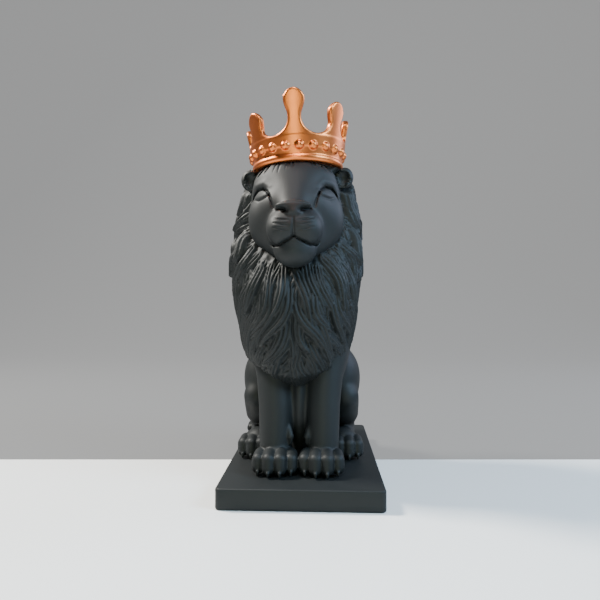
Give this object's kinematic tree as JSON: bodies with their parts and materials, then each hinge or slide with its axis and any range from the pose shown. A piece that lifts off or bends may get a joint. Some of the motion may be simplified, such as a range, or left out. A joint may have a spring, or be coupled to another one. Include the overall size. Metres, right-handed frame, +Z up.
{
  "type": "lion figurine",
  "caption": "Seated lion with a full mane and a crown on a flat rectangular plinth, a shelf ornament of matte dark resin with a polished copper-coloured crown.",
  "frame": {"origin": "middle of the plinth's underside", "axes": "+Z up, the lion faces -Y, its left side is towards +X"},
  "size_m": [0.094, 0.15, 0.242],
  "materials": {
    "charcoal_resin": "matte charcoal coat over cast resin",
    "copper_plating": "polished copper-coloured metal plating over cast resin"
  },
  "bodies": {
    "root": {"plinth": "charcoal_resin", "lion": "charcoal_resin", "crown": "copper_plating"}
  },
  "joints": []
}
